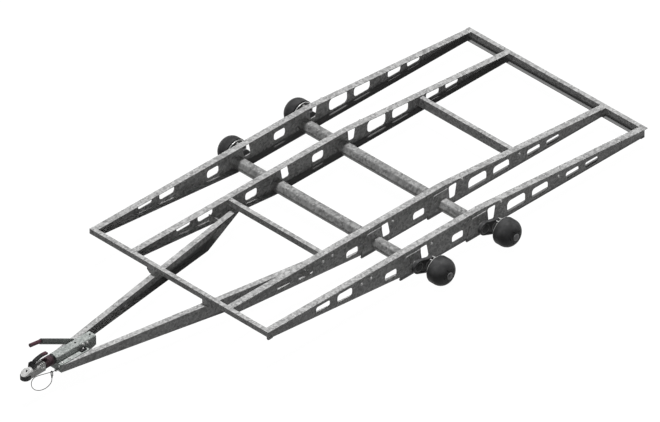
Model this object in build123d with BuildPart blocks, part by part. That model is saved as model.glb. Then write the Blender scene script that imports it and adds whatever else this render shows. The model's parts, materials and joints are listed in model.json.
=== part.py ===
from build123d import *
import os
from math import atan, cos, degrees, pi, radians, sin, tan

# Car hauler trailer: bare galvanised ladder chassis on two torsion axles, with
# a V drawbar and an overrun coupling. Millimetres, +X towards the coupling,
# +Y to the left side, +Z up. The origin is on the floor, midway between the
# rear edge and the coupling's nose, on the centre plane. The brake drums carry
# no wheels and stand on the floor.

# Overall
frame_length = 4310
drawbar_reach = 1740
overall_length = frame_length + drawbar_reach
rear_x = -overall_length / 2
front_x = rear_x + frame_length
nose_x = front_x + drawbar_reach
beam_plate = 5
bend_radius = 5
drawbar_plate = 3
fit = 0.3
overrun = 20

# Brake drums and axles
drum_radius = 120
drum_depth = 136
drum_wall = 12
drum_face = 14
drum_round = 88
hub_setback = 1770
axle_spacing = 752
arm_reach = 126
arm_drop = 38
hub_z = drum_radius
axle_z = hub_z + arm_drop
axle_xs = [front_x - hub_setback + arm_reach - i * axle_spacing for i in range(2)]
tube_flats = 104
tube_corner = 20
tube_wall = 6

# Chassis beams
deck_z = axle_z + 164
outer_web_y = 1010
inner_web_y = 574
flange_width = 60
beam_front_depth = 69
beam_depth = 224
keel_run = 1560
bend_setback = 2403
rear_fall = 158
cross_flange = 40
cross_front_depth = 48
cross_mid_front_depth = 54
cross_mid_rear_depth = 86
mid_front_setback = 1066
mid_rear_setback = 3238
beam_front_x = front_x - cross_flange
beam_rear_x = rear_x + cross_flange
bend_x = front_x - bend_setback
keel_x = beam_front_x - keel_run
keel_z = deck_z - beam_depth

# Slots in each web, ahead of, between and behind the axles: middle and length
# as shares of that bay, then middle and height as shares of the web's depth
bay_slot_shares = [
    [(0.375, 0.0949, 0.447, 0.430), (0.524, 0.1022, 0.464, 0.535), (0.839, 0.0802, 0.652, 0.356)],
    [(0.651, 0.170, 0.600, 0.335)],
    [
        (0.212, 0.1085, 0.540, 0.586),
        (0.354, 0.0962, 0.538, 0.545),
        (0.547, 0.0772, 0.540, 0.453),
        (0.662, 0.0752, 0.530, 0.433),
    ],
]
slot_round_share = 0.36

# Windows behind each axle: shares of the axle spacing behind the axle, for
# the front top, rear top, rear bottom and front bottom corners
window_shares = [
    (0.085, 0.186, 0.219, 0.115),
    (0.101, 0.226, 0.197, 0.117),
]
window_top_share = 0.16
window_bottom_share = 0.715
window_round = 16

# Axle brackets
bracket_plate = 10
bracket_ahead_top = 100
bracket_ahead_foot = 176
bracket_behind = 62
bracket_top_drop = 38
bracket_foot_drop = 12
bracket_round = 8

# Swing arms, spindles and backplates
arm_thickness = 30
arm_boss_radius = 60
arm_hub_radius = 68
arm_round = 5
arm_rim = 13
arm_eye_radius = 34
arm_recess = 9
tube_reach = 18
stub_radius = 32
stub_length = 68
spindle_radius = 17.5
backplate_thickness = 4
backplate_gap = 5
hub_radius = 36
cap_radius = 31
cap_depth = 10
cap_round = 4
stud_circle = 112
stud_hole = 12
stud_count = 5

# V drawbar
drawbar_setback = 365
drawbar_half_front = 85
drawbar_half_cross = 311
drawbar_top_drop = 91
drawbar_front_depth = 65
drawbar_cross_depth = 128
drawbar_belly_depth = 163
drawbar_belly_setback = 692
drawbar_rear_setback = 1118
drawbar_rear_depth = 20
drawbar_flange = 50
hanger_plate = 8
hanger_ear = 40
hanger_ear_depth = 18
hanger_ear_foot = 10
rear_bracket_setback = 900
drawbar_front_x = front_x + (drawbar_reach - drawbar_setback)
drawbar_top_z = deck_z - drawbar_top_drop
drawbar_slope = (drawbar_half_cross - drawbar_half_front) / (drawbar_front_x - front_x)
drawbar_rear_x = front_x - drawbar_rear_setback
drawbar_belly_x = front_x - drawbar_belly_setback
drawbar_angle = atan(drawbar_slope)

# Overrun coupling
housing_length = 434
housing_width = 84
housing_height = 57
housing_setback = 350
housing_round = 12
housing_wall = 8
cheek_length = 98
cheek_front_drop = 120
cheek_rear_drop = 91
cheek_run = 16
collar_radius = 40
collar_length = 22
base_plate = 8
draw_tube_radius = 25
draw_tube_length = 330
draw_tube_wall = 4
draw_tube_seat = 30
bellows_radius = 47
bellows_pitch = 20
bellows_fold = 10
head_length = 235
head_width = 70
head_step = 12
head_rise = 36
head_axis_drop = 40
head_nose_height = 38
head_slope_run = 78
head_rear_run = 40
head_round = 24
head_wall = 6
rib_count = 3
rib_width = 9
rib_pitch = 19
rib_height = 6
rib_setback = 14
nose_radius = 42
bumper_thickness = 4
bumper_height = 38
bumper_leg = 22
bumper_round = 3
socket_radius = 25
handle_pivot_setback = 122
handle_pivot_radius = 6
handle_boss_radius = 15
handle_width = 30
handle_length = 150
handle_rise = 43
handle_line_shares = [(0, 0), (0.1, 0.47), (0.4, 0.86), (0.72, 1), (1, 0.93)]
handle_thickness = 21
handle_round = 4
handle_cheek = 6
handle_gap = 1

# Handbrake
lever_length = 400
lever_depth = 48
lever_thickness = 12
lever_lift = 27
lever_groove_share = 0.42
lever_groove_depth = 3
lever_pivot_ahead = 168
lever_pivot_drop = 26
lever_pivot_radius = 9
lever_side_gap = 6
pin_head = 6
grip_length = 112
grip_radius = 17
grip_neck_radius = 12
grip_lift = 8

# Breakaway cable
clip_width = 20
clip_height = 22
cable_diameter = 6
run_share = 0.45
# Its route: run ahead of the base plate, distance to the left, height over the
# drawbar's top
cable_places = [
    (14, 30, -62),
    (38, 30, -62),
    (76, 29, -52),
    (138, 27, -37),
    (198, 26, -22),
    (240, 26, -17),
    (272, 27, -34),
    (279, 28, -70),
    (264, 29, -112),
    (228, 29, -148),
    (185, 30, -171),
    (141, 30, -181),
    (101, 30, -179),
    (69, 30, -165),
    (52, 30, -140),
    (52, 30, -114),
]
hook_bar = 6
hook_inner = 12
hook_ferrule_radius = 6
hook_ferrule_length = 18
hook_drop = 53.8

os.makedirs("parts", exist_ok=True)


def save(solid, name):
    solid.label = name
    export_step(solid, f"parts/{name}.step")


def web_top(x):
    """Height of a chassis beam's top, level and then falling to the rear."""
    return deck_z - max(0, bend_x - x) * rear_fall / (bend_x - rear_x)


def web_bottom(x):
    """Height of a chassis beam's lower edge, down to its level keel."""
    rise = (beam_depth - beam_front_depth) / keel_run
    return keel_z + max(0, x - keel_x) * rise


def drawbar_half(x):
    """Outer half-width of the V drawbar at a place along it."""
    return drawbar_half_front + (drawbar_front_x - x) * drawbar_slope


# Chassis beams: C channels with their webs outboard
bay_ends = [front_x, *axle_xs, rear_x]


def chassis_beam(web_y):
    xs = [beam_front_x, bend_x, beam_rear_x]
    lows = [beam_rear_x, keel_x, beam_front_x]
    ends = [beam_front_x + overrun, bend_x, beam_rear_x - overrun]
    low_ends = [beam_rear_x - overrun, keel_x, beam_front_x + overrun]
    with BuildPart() as beam:
        with BuildSketch(Plane.XZ.offset(-web_y)):
            with BuildLine():
                Polyline(*[(x, web_top(x)) for x in xs], *[(x, web_bottom(x)) for x in lows], close=True)
            make_face()
        extrude(amount=flange_width)
        web = beam.faces().sort_by(Axis.Y)[-1]
        fillet(web.edges().filter_by(lambda e: e.length > beam_depth), bend_radius)
        with BuildSketch(Plane.XZ.offset(beam_plate - web_y)):
            with BuildLine():
                Polyline(
                    *[(x, web_top(x) - beam_plate) for x in ends],
                    *[(x, web_bottom(x) + beam_plate) for x in low_ends],
                    close=True,
                )
            make_face()
        extrude(amount=flange_width, mode=Mode.SUBTRACT)
        for start, stop, shares in zip(bay_ends, bay_ends[1:], bay_slot_shares):
            for behind, length, middle, height in shares:
                x = start - behind * (start - stop)
                depth = web_top(x) - web_bottom(x)
                tall = height * depth
                with BuildSketch(Plane.XZ.offset(-web_y - overrun)):
                    with Locations((x, web_top(x) - middle * depth)):
                        RectangleRounded(length * (start - stop), tall, slot_round_share * tall)
                extrude(amount=2 * overrun, mode=Mode.SUBTRACT)
        for axle_x, shares in zip(axle_xs, window_shares):
            front_top, rear_top, rear_foot, front_foot = [axle_x - s * axle_spacing for s in shares]
            top = deck_z - window_top_share * beam_depth
            foot = deck_z - window_bottom_share * beam_depth
            corners = [(front_top, top), (rear_top, top), (rear_foot, foot), (front_foot, foot)]
            with BuildSketch(Plane.XZ.offset(-web_y - overrun)) as window:
                with BuildLine():
                    Polyline(*corners, close=True)
                make_face()
                fillet(window.vertices(), window_round)
            extrude(amount=2 * overrun, mode=Mode.SUBTRACT)
            with BuildSketch(Plane.XZ.offset(-web_y - overrun)):
                with Locations((axle_x, axle_z)):
                    add(tube_section(fit))
            extrude(amount=2 * overrun, mode=Mode.SUBTRACT)
    return beam.part


def tube_section(gap=0):
    """Six-sided axle tube's outline with round corners, flat on top."""
    with BuildSketch(mode=Mode.PRIVATE) as section:
        RegularPolygon(tube_flats / 2 + gap, 6, major_radius=False)
        fillet(section.vertices(), tube_corner + gap)
    return section.sketch


for place, web_y in (("outer", outer_web_y), ("inner", inner_web_y)):
    beam = chassis_beam(web_y)
    save(beam, f"beam_{place}_left")
    save(mirror(beam, about=Plane.XZ), f"beam_{place}_right")


# Cross members: a web with a top flange behind it, and a foot flange ahead of
# it or behind it
def cross_member(web_x, top_z, depth, half_width, flange_half, foot_side):
    with BuildPart() as cross:
        with BuildSketch(Plane.XY.offset(top_z - depth)):
            with Locations((web_x - beam_plate / 2, 0)):
                Rectangle(beam_plate, 2 * half_width)
        extrude(amount=depth)
        with BuildSketch(Plane.XY.offset(top_z - beam_plate)):
            with Locations((web_x - cross_flange / 2, 0)):
                Rectangle(cross_flange, 2 * flange_half)
        extrude(amount=beam_plate)
        foot_x = web_x - cross_flange / 2 if foot_side < 0 else web_x + cross_flange / 2 - beam_plate
        with BuildSketch(Plane.XY.offset(top_z - depth)):
            with Locations((foot_x, 0)):
                Rectangle(cross_flange, 2 * half_width)
        extrude(amount=beam_plate)
    return cross.part


rear_depth = web_top(beam_rear_x) - keel_z + beam_plate
mid_front_x = front_x - mid_front_setback
mid_rear_x = front_x - mid_rear_setback
mid_half = inner_web_y - beam_plate
mid_rear_top = web_top(mid_rear_x - cross_flange) - 2 * beam_plate
with BuildPart() as front_member:
    add(cross_member(front_x, deck_z, cross_front_depth, outer_web_y, outer_web_y, -1))
    with BuildSketch(Plane.XZ.offset(-outer_web_y)):
        with Locations((front_x - cross_flange / 2, deck_z - cross_front_depth / 2)):
            Rectangle(cross_flange, cross_front_depth)
    extrude(amount=beam_plate)
    mirror(about=Plane.XZ)
save(front_member.part, "cross_member_front")
save(
    cross_member(mid_front_x, deck_z - beam_plate, cross_mid_front_depth, mid_half, mid_half, -1),
    "cross_member_mid_front",
)
save(
    cross_member(mid_rear_x, mid_rear_top, cross_mid_rear_depth, mid_half, mid_half, -1),
    "cross_member_mid_rear",
)
save(
    cross_member(beam_rear_x, web_top(beam_rear_x), rear_depth, outer_web_y, outer_web_y, 1),
    "cross_member_rear",
)


# Axle brackets: pressed plates on the outboard face of each web, round the tube
for end, axle_x in zip(("front", "rear"), axle_xs):
    with BuildPart() as brackets:
        for web_y in (outer_web_y, inner_web_y):
            with BuildSketch(Plane.XZ.offset(-web_y - bracket_plate)) as outline:
                with BuildLine():
                    Polyline(
                        (axle_x + bracket_ahead_top, deck_z - bracket_top_drop),
                        (axle_x - bracket_behind, deck_z - bracket_top_drop),
                        (axle_x - bracket_behind, keel_z - bracket_foot_drop),
                        (axle_x + bracket_ahead_foot, keel_z - bracket_foot_drop),
                        close=True,
                    )
                make_face()
                fillet(outline.vertices(), bracket_round)
                with Locations((axle_x, axle_z)):
                    add(tube_section(), mode=Mode.SUBTRACT)
            extrude(amount=bracket_plate)
        mirror(about=Plane.XZ)
    save(brackets.part, f"axle_brackets_{end}")


# Axle tubes, through both beams of each side
tube_half = outer_web_y + bracket_plate + tube_reach
for end, axle_x in zip(("front", "rear"), axle_xs):
    with BuildPart() as tube:
        with BuildSketch(Plane.XZ.offset(-tube_half)):
            with Locations((axle_x, axle_z)):
                add(tube_section())
                add(tube_section(-tube_wall), mode=Mode.SUBTRACT)
        extrude(amount=2 * tube_half)
    save(tube.part, f"axle_tube_{end}")

# Swing arms with stub and spindle, backplates, brake drums and hub caps
arm_y = tube_half
stub_y = arm_y + arm_thickness
plate_y = stub_y + stub_length
drum_inner_y = plate_y + backplate_thickness + backplate_gap
hub_y = drum_inner_y + drum_depth
round_y = hub_y - drum_round
hub_dome = ((drum_round - drum_wall) ** 2 - (hub_radius - drum_radius + drum_round) ** 2) ** 0.5
for end, axle_x in zip(("front", "rear"), axle_xs):
    hub_x = axle_x - arm_reach
    with BuildPart() as arm:
        with BuildSketch(Plane.XZ.offset(-arm_y - arm_thickness)):
            with Locations((axle_x, axle_z)):
                Circle(arm_boss_radius)
            with Locations((hub_x, hub_z)):
                Circle(arm_hub_radius)
            make_hull()
        extrude(amount=arm_thickness)
        fillet(arm.faces().sort_by(Axis.Y)[-1].edges(), arm_round)
        with BuildSketch(Plane.XZ.offset(-arm_y - arm_thickness + arm_recess)):
            with Locations((axle_x, axle_z)):
                Circle(arm_boss_radius - arm_rim)
            with Locations((hub_x, hub_z)):
                Circle(arm_hub_radius - arm_rim)
            make_hull()
            with Locations((axle_x, axle_z), (hub_x, hub_z)):
                Circle(arm_eye_radius, mode=Mode.SUBTRACT)
        extrude(amount=-arm_recess, mode=Mode.SUBTRACT)
        with BuildSketch(Plane.XZ.offset(-plate_y)):
            with Locations((hub_x, hub_z)):
                Circle(stub_radius)
        extrude(amount=stub_length)
        with BuildSketch(Plane.XZ.offset(-(hub_y - drum_face))):
            with Locations((hub_x, hub_z)):
                Circle(spindle_radius)
        extrude(amount=hub_y - drum_face - plate_y)
    with BuildPart() as backplate:
        with BuildSketch(Plane.XZ.offset(-plate_y - backplate_thickness)):
            with Locations((hub_x, hub_z)):
                Circle(drum_radius - backplate_gap)
                Circle(spindle_radius, mode=Mode.SUBTRACT)
        extrude(amount=backplate_thickness)
    axis_plane = Plane(origin=(hub_x, 0, hub_z), x_dir=(1, 0, 0), z_dir=(0, 0, 1))
    with BuildPart() as drum:
        with BuildSketch(axis_plane):
            with BuildLine():
                Polyline(
                    (drum_radius, round_y),
                    (drum_radius, drum_inner_y),
                    (drum_radius - drum_wall, drum_inner_y),
                    (drum_radius - drum_wall, round_y),
                )
                CenterArc(
                    (drum_radius - drum_round, round_y),
                    drum_round - drum_wall,
                    0,
                    degrees(atan(hub_dome / (hub_radius - drum_radius + drum_round))),
                )
                Polyline(
                    (hub_radius, round_y + hub_dome),
                    (hub_radius, drum_inner_y),
                    (spindle_radius + fit, drum_inner_y),
                    (spindle_radius + fit, hub_y),
                    (drum_radius - drum_round, hub_y),
                )
                CenterArc((drum_radius - drum_round, round_y), drum_round, 0, 90)
            make_face()
        revolve(axis=Axis((hub_x, 0, hub_z), (0, 1, 0)))
        with BuildSketch(Plane.XZ.offset(-hub_y - overrun)):
            with Locations((hub_x, hub_z)):
                with PolarLocations(stud_circle / 2, stud_count):
                    Circle(stud_hole / 2)
        extrude(amount=overrun + 2 * drum_wall, mode=Mode.SUBTRACT)
    with BuildPart() as cap:
        with BuildSketch(Plane.XZ.offset(-hub_y - cap_depth)):
            with Locations((hub_x, hub_z)):
                Circle(cap_radius)
        extrude(amount=cap_depth)
        fillet(cap.faces().sort_by(Axis.Y)[-1].edges(), cap_round)
    wheel_end = {"swing_arm": arm, "backplate": backplate, "brake_drum": drum, "hub_cap": cap}
    for side in ("left", "right"):
        for name, piece in wheel_end.items():
            solid = piece.part if side == "left" else mirror(piece.part, about=Plane.XZ)
            save(solid, f"{name}_{end}_{side}")


# V drawbar: two C channels under the front cross member, webs outboard,
# deepest behind it and tapered to their rear ends inside the inner beams
def drawbar_beam():
    plane = Plane(
        origin=(drawbar_front_x, drawbar_half_front, 0),
        x_dir=(cos(drawbar_angle), -sin(drawbar_angle), 0),
        z_dir=(-sin(drawbar_angle), -cos(drawbar_angle), 0),
    )

    def along(x):
        return (x - drawbar_front_x) / cos(drawbar_angle)

    stations = (
        (drawbar_front_x, drawbar_front_depth),
        (front_x, drawbar_cross_depth),
        (drawbar_belly_x, drawbar_belly_depth),
        (drawbar_rear_x, drawbar_rear_depth),
    )
    top = drawbar_top_z
    first = along(drawbar_front_x)
    last = along(drawbar_rear_x)
    with BuildPart() as beam:
        with BuildSketch(plane):
            with BuildLine():
                Polyline(
                    (first, top),
                    *[(along(x), top - depth) for x, depth in stations],
                    (last, top),
                    close=True,
                )
            make_face()
        extrude(amount=drawbar_flange)
        with BuildSketch(plane.offset(drawbar_plate)):
            with BuildLine():
                Polyline(
                    (first + overrun, top - drawbar_plate),
                    (first + overrun, top - drawbar_front_depth + drawbar_plate),
                    *[(along(x), top - depth + drawbar_plate) for x, depth in stations[1:3]],
                    (last - overrun, top - drawbar_plate),
                    close=True,
                )
            make_face()
        extrude(amount=drawbar_flange, mode=Mode.SUBTRACT)
    return beam.part


drawbar = drawbar_beam()
save(drawbar, "drawbar_left")
save(mirror(drawbar, about=Plane.XZ), "drawbar_right")

# Hangers: pressed brackets that hold the drawbar under the front cross member,
# each with an ear outboard
hanger_top = deck_z - cross_front_depth
hanger_y = drawbar_half(front_x - cross_flange)
with BuildPart() as hangers:
    with BuildSketch(Plane.YZ.offset(front_x - hanger_plate)):
        with BuildLine():
            Polyline(
                (hanger_y - drawbar_flange, hanger_top),
                (hanger_y + hanger_ear, hanger_top),
                (hanger_y + hanger_ear, hanger_top - hanger_ear_depth),
                (hanger_y + hanger_ear_foot, drawbar_top_z),
                (hanger_y - drawbar_flange, drawbar_top_z),
                close=True,
            )
        make_face()
    extrude(amount=hanger_plate)
    for plate_z in (drawbar_top_z, hanger_top - hanger_plate):
        with BuildSketch(Plane.XY.offset(plate_z)):
            with Locations((front_x - cross_flange / 2, hanger_y - drawbar_flange / 2)):
                Rectangle(cross_flange, drawbar_flange)
        extrude(amount=hanger_plate)
    mirror(about=Plane.XZ)
save(hangers.part, "drawbar_hangers")

# Rear brackets: upright plates from the inner beams' webs to the drawbar's webs
with BuildPart() as rear_brackets:
    bracket_x = front_x - rear_bracket_setback
    bracket_foot = web_bottom(bracket_x) + beam_plate
    with BuildSketch(Plane.XY.offset(bracket_foot)):
        with BuildLine():
            Polyline(
                (bracket_x, drawbar_half(bracket_x)),
                (bracket_x, inner_web_y - beam_plate),
                (bracket_x - hanger_plate, inner_web_y - beam_plate),
                (bracket_x - hanger_plate, drawbar_half(bracket_x - hanger_plate)),
                close=True,
            )
        make_face()
    extrude(amount=drawbar_top_z - bracket_foot)
    mirror(about=Plane.XZ)
save(rear_brackets.part, "drawbar_rear_brackets")

# Overrun coupling: base plate with its front lip, which closes the drawbar
base_top = drawbar_top_z + base_plate
base_front_x = drawbar_front_x + base_plate
tube_axis_z = base_top + housing_height / 2
housing_front_x = nose_x - housing_setback
housing_rear_x = housing_front_x - housing_length
housing_top = base_top + housing_height
cheek_front_x = housing_rear_x + cheek_length
base_rear_x = cheek_front_x + cheek_run + fit
head_rear_x = nose_x - head_length
with BuildPart() as base:
    with BuildSketch(Plane.XY.offset(drawbar_top_z)):
        with Locations(((base_front_x + base_rear_x) / 2, 0)):
            Rectangle(base_front_x - base_rear_x, 2 * drawbar_half_front)
    extrude(amount=base_plate)
    with BuildSketch(Plane.YZ.offset(drawbar_front_x)):
        with Locations((0, drawbar_top_z - drawbar_front_depth / 2)):
            Rectangle(2 * drawbar_half_front, drawbar_front_depth)
    extrude(amount=base_plate)
    fillet(base.edges().filter_by(Axis.Y).sort_by(lambda e: e.center().X + e.center().Z)[-1], base_plate / 2)
save(base.part, "coupling_base_plate")

# Overrun housing: hollow body, round collar in front and cheeks hanging down
# between the drawbar's beams at the rear, open below for the brake linkage
with BuildPart() as housing:
    with BuildSketch(Plane.YZ.offset(housing_rear_x)):
        with Locations((0, tube_axis_z)):
            RectangleRounded(housing_width, housing_height, housing_round)
    extrude(amount=housing_length)
    with BuildSketch(Plane.XZ.offset(-housing_width / 2)):
        with BuildLine():
            Polyline(
                (housing_rear_x, tube_axis_z),
                (housing_rear_x, housing_top - cheek_rear_drop),
                (cheek_front_x, housing_top - cheek_front_drop),
                (cheek_front_x + cheek_run, base_top),
                (cheek_front_x + cheek_run, tube_axis_z),
                close=True,
            )
        make_face()
    extrude(amount=housing_width)
    with BuildSketch(Plane.YZ.offset(housing_front_x)):
        with Locations((0, tube_axis_z)):
            Circle(collar_radius)
    extrude(amount=collar_length)
    with BuildSketch(Plane.YZ.offset(housing_rear_x + housing_wall)):
        with Locations((0, tube_axis_z)):
            Rectangle(housing_width - 2 * housing_wall, 2 * draw_tube_radius + 2 * fit)
    extrude(amount=housing_length - 2 * housing_wall, mode=Mode.SUBTRACT)
    with BuildSketch(Plane.XY.offset(housing_top - cheek_front_drop - overrun)):
        with Locations((housing_rear_x + cheek_length / 2, 0)):
            Rectangle(cheek_length - 2 * housing_wall, housing_width - 2 * housing_wall)
    extrude(amount=cheek_front_drop - housing_height / 2 + overrun, mode=Mode.SUBTRACT)
    with BuildSketch(Plane.YZ.offset(housing_front_x - overrun)):
        with Locations((0, tube_axis_z)):
            Circle(draw_tube_radius + fit)
    extrude(amount=collar_length + 2 * overrun, mode=Mode.SUBTRACT)
save(housing.part, "overrun_housing")

with BuildPart() as draw_tube:
    with BuildSketch(Plane.YZ.offset(head_rear_x + draw_tube_seat - draw_tube_length)):
        with Locations((0, tube_axis_z)):
            Circle(draw_tube_radius)
            Circle(draw_tube_radius - draw_tube_wall, mode=Mode.SUBTRACT)
    extrude(amount=draw_tube_length)
save(draw_tube.part, "draw_tube")

bellows_rear_x = housing_front_x + collar_length
bellows_room = head_rear_x - bellows_rear_x
folds = max(2, round(bellows_room / bellows_pitch))
pitch = bellows_room / folds
with BuildPart() as bellows:
    with BuildSketch(Plane.XZ):
        with BuildLine():
            outer = [(bellows_rear_x, tube_axis_z + bellows_radius - bellows_fold)]
            for i in range(folds):
                outer.append((bellows_rear_x + (i + 0.5) * pitch, tube_axis_z + bellows_radius))
                outer.append((bellows_rear_x + (i + 1) * pitch, tube_axis_z + bellows_radius - bellows_fold))
            Polyline(
                *outer,
                (head_rear_x, tube_axis_z + draw_tube_radius + fit),
                (bellows_rear_x, tube_axis_z + draw_tube_radius + fit),
                close=True,
            )
        make_face()
    revolve(axis=Axis((0, 0, tube_axis_z), (1, 0, 0)))
save(bellows.part, "draw_bellows")

# Coupling head: pressed body whose top slopes to the nose, ribs across its rear
# end, a seat for the draw tube, a pocket and the ball's socket below
head_top = tube_axis_z + head_rise
head_foot = tube_axis_z - head_axis_drop
ball_x = nose_x - nose_radius
shell_radius = nose_radius - bumper_thickness - fit
nose_slope = (head_top - head_foot - head_nose_height) / head_slope_run
handle_x = nose_x - handle_pivot_setback
handle_z = head_top + handle_boss_radius + handle_gap
with BuildPart() as head:
    with BuildSketch(Plane.XZ.offset(-nose_radius)):
        with BuildLine():
            Polyline(
                (head_rear_x, head_foot),
                (nose_x + overrun, head_foot),
                (nose_x + overrun, head_foot + head_nose_height - overrun * nose_slope),
                (nose_x - head_slope_run, head_top),
                (head_rear_x + head_rear_run, head_top),
                (head_rear_x, head_top - head_step),
                close=True,
            )
        make_face()
    extrude(amount=2 * nose_radius)
    with BuildSketch(Plane.XY.offset(head_foot - overrun)):
        with BuildLine():
            Polyline(
                (ball_x, shell_radius),
                (head_rear_x, head_width / 2),
                (head_rear_x, -head_width / 2),
                (ball_x, -shell_radius),
            )
            ThreePointArc((ball_x, -shell_radius), (ball_x + shell_radius, 0), (ball_x, shell_radius))
        make_face()
    extrude(amount=head_top - head_foot + 2 * overrun, mode=Mode.INTERSECT)
    shoulder = head.edges().filter_by(lambda e: e.center().Z > head_foot + head_nose_height / 2)
    shoulder = shoulder.filter_by(lambda e: e.center().X > head_rear_x + fit and abs(e.center().Y) > fit)
    fillet(shoulder.filter_by(lambda e: abs(e.tangent_at(0).Z) < head_wall / head_round), head_round)
    for i in range(rib_count):
        with BuildSketch(Plane.XY.offset(head_top - head_step - rib_height)):
            with Locations((head_rear_x + rib_setback + i * rib_pitch, 0)):
                Rectangle(rib_width, head_width)
        extrude(amount=head_step + 2 * rib_height)
    with BuildSketch(Plane.YZ.offset(head_rear_x)):
        with Locations((0, tube_axis_z)):
            Circle(draw_tube_radius)
    extrude(amount=draw_tube_seat, mode=Mode.SUBTRACT)
    pocket_x = head_rear_x + draw_tube_seat + head_wall
    with BuildSketch(Plane.XY.offset(head_foot)):
        with Locations(((pocket_x + ball_x) / 2, 0)):
            RectangleRounded(ball_x - pocket_x, head_width - 2 * head_wall, head_wall)
    extrude(amount=head_axis_drop, mode=Mode.SUBTRACT)
    with Locations((ball_x, 0, head_foot + socket_radius / 2)):
        Sphere(socket_radius, mode=Mode.SUBTRACT)
    for cheek_y in (handle_width / 2 + handle_gap + handle_cheek, -handle_width / 2 - handle_gap):
        with BuildSketch(Plane.XZ.offset(-cheek_y)):
            with Locations((handle_x, handle_z)):
                Circle(handle_boss_radius - handle_gap)
            with Locations((handle_x, head_top - head_step)):
                Rectangle(3 * handle_boss_radius, head_step)
            make_hull()
        extrude(amount=handle_cheek)
    with BuildSketch(Plane.XZ.offset(-handle_width / 2 - handle_gap)):
        with Locations((handle_x, handle_z)):
            Circle(handle_pivot_radius)
    extrude(amount=handle_width + 2 * handle_gap)
save(head.part, "coupling_head")

# Bumper round the nose
with BuildPart() as bumper:
    with BuildSketch(Plane.XY.offset(head_foot)):
        with Locations((ball_x, 0)):
            Circle(nose_radius)
        with Locations((ball_x - bumper_leg / 2, 0)):
            Rectangle(bumper_leg, 2 * nose_radius)
    extrude(amount=bumper_height)
    bumper_rim = bumper.faces().sort_by(Axis.Z)[-1].edges()
    fillet(bumper_rim.filter_by(lambda e: e.center().X > ball_x - bumper_leg), bumper_round)
    with BuildSketch(Plane.XY.offset(head_foot - overrun)):
        with Locations((ball_x, 0)):
            Circle(nose_radius - bumper_thickness)
        with Locations((ball_x - bumper_leg, 0)):
            Rectangle(2 * bumper_leg, 2 * (nose_radius - bumper_thickness))
    extrude(amount=bumper_height + 2 * overrun, mode=Mode.SUBTRACT)
save(bumper.part, "nose_bumper")

# Coupling handle: arched lever that turns on the head's pivot
handle_line = [
    (handle_x - run * handle_length, handle_z + rise * handle_rise)
    for run, rise in handle_line_shares
]
with BuildPart() as handle:
    with BuildSketch(Plane.XZ.offset(-handle_width / 2)):
        with BuildLine():
            Spline(*handle_line)
        trace(line_width=handle_thickness)
        with Locations(handle_line[0]):
            Circle(handle_boss_radius)
        with Locations(handle_line[-1]):
            Circle(handle_thickness / 2)
    extrude(amount=handle_width)
    fillet(handle.faces().sort_by(Axis.Y)[0].edges(), handle_round)
    fillet(handle.faces().sort_by(Axis.Y)[-1].edges(), handle_round)
    with BuildSketch(Plane.XZ.offset(-handle_width)):
        with Locations(handle_line[0]):
            Circle(handle_pivot_radius + fit)
    extrude(amount=2 * handle_width, mode=Mode.SUBTRACT)
save(handle.part, "coupling_handle")

# Handbrake: grooved flat lever on a pin at the housing's right side
lever_x = housing_rear_x + lever_pivot_ahead
lever_z = housing_top - lever_pivot_drop
lever_y = -housing_width / 2 - lever_side_gap
lever_plane = Plane(
    origin=(lever_x, lever_y, lever_z),
    x_dir=(cos(radians(lever_lift)), 0, sin(radians(lever_lift))),
    z_dir=(0, -1, 0),
)
with BuildPart() as lever_pin:
    with BuildSketch(Plane.XZ.offset(housing_width / 2)):
        with Locations((lever_x, lever_z)):
            Circle(lever_pivot_radius)
    extrude(amount=lever_side_gap + lever_thickness + pin_head)
save(lever_pin.part, "handbrake_pin")
with BuildPart() as lever:
    with BuildSketch(lever_plane):
        Circle(lever_depth / 2)
        with Locations((lever_length / 2, 0)):
            Rectangle(lever_length, lever_depth)
        Circle(lever_pivot_radius + fit, mode=Mode.SUBTRACT)
    extrude(amount=lever_thickness)
    for groove_z in (-lever_groove_depth, lever_thickness - lever_groove_depth):
        with BuildSketch(lever_plane.offset(max(0, groove_z))):
            with Locations((lever_length / 2, 0)):
                Rectangle(lever_length - 2 * lever_depth, lever_groove_share * lever_depth)
        extrude(amount=lever_groove_depth, mode=Mode.SUBTRACT)
save(lever.part, "handbrake_lever")

# Grip: its axis starts at the lever's end and lies flatter than the lever
grip_start = lever_plane.from_local_coords(Vector(lever_length, 0, lever_thickness / 2))
grip_plane = Plane(
    origin=grip_start,
    x_dir=(0, 1, 0),
    z_dir=(cos(radians(grip_lift)), 0, sin(radians(grip_lift))),
)
with BuildPart() as grip:
    with BuildSketch(grip_plane.offset(-grip_neck_radius)):
        Circle(grip_radius)
    extrude(amount=grip_length + grip_neck_radius)
    fillet(grip.edges().filter_by(GeomType.CIRCLE).sort_by(Axis.X)[-1], grip_radius / 2)
    add(lever.part, mode=Mode.SUBTRACT)
save(grip.part, "handbrake_grip")

# Clip on the base plate's lip that holds the breakaway cable's start
cable_route = [
    (base_front_x + ahead, side, drawbar_top_z + height)
    for ahead, side, height in cable_places
]
clip_x, clip_y, clip_z = cable_route[0]
with BuildPart() as clip:
    with BuildSketch(Plane.YZ.offset(base_front_x)):
        with Locations((clip_y, clip_z)):
            RectangleRounded(clip_width, clip_height, clip_width / 4)
    extrude(amount=clip_x - base_front_x)
save(clip.part, "cable_clip")

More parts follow.
